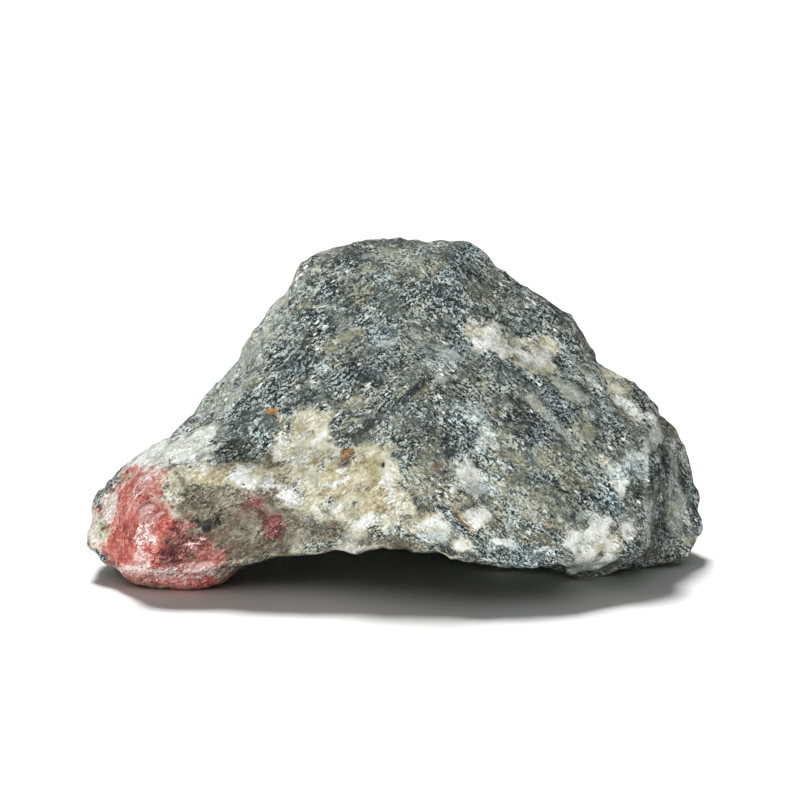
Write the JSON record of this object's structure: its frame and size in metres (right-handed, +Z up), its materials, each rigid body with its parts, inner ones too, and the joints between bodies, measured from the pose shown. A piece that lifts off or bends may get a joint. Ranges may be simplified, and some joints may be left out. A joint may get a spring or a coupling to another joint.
{
  "type": "tugtupite specimen",
  "caption": "Rough lump of fine-grained grey rock with cream veins and a rounded toe of pink tugtupite, resting on three small worn feet.",
  "frame": {"origin": "under the middle of the stone, on the surface that it rests on", "axes": "+X along the long way, away from the pink toe; +Y from the front, where the pink toe shows, to the back; +Z up"},
  "size_m": [0.0656, 0.0372, 0.0335],
  "materials": {
    "stone": "rough broken rock: blue-grey speckled matrix, cream and white patches, salmon to maroon pink at the left end"
  },
  "bodies": {
    "root": {"tugtupite_stone": "stone"}
  },
  "joints": []
}
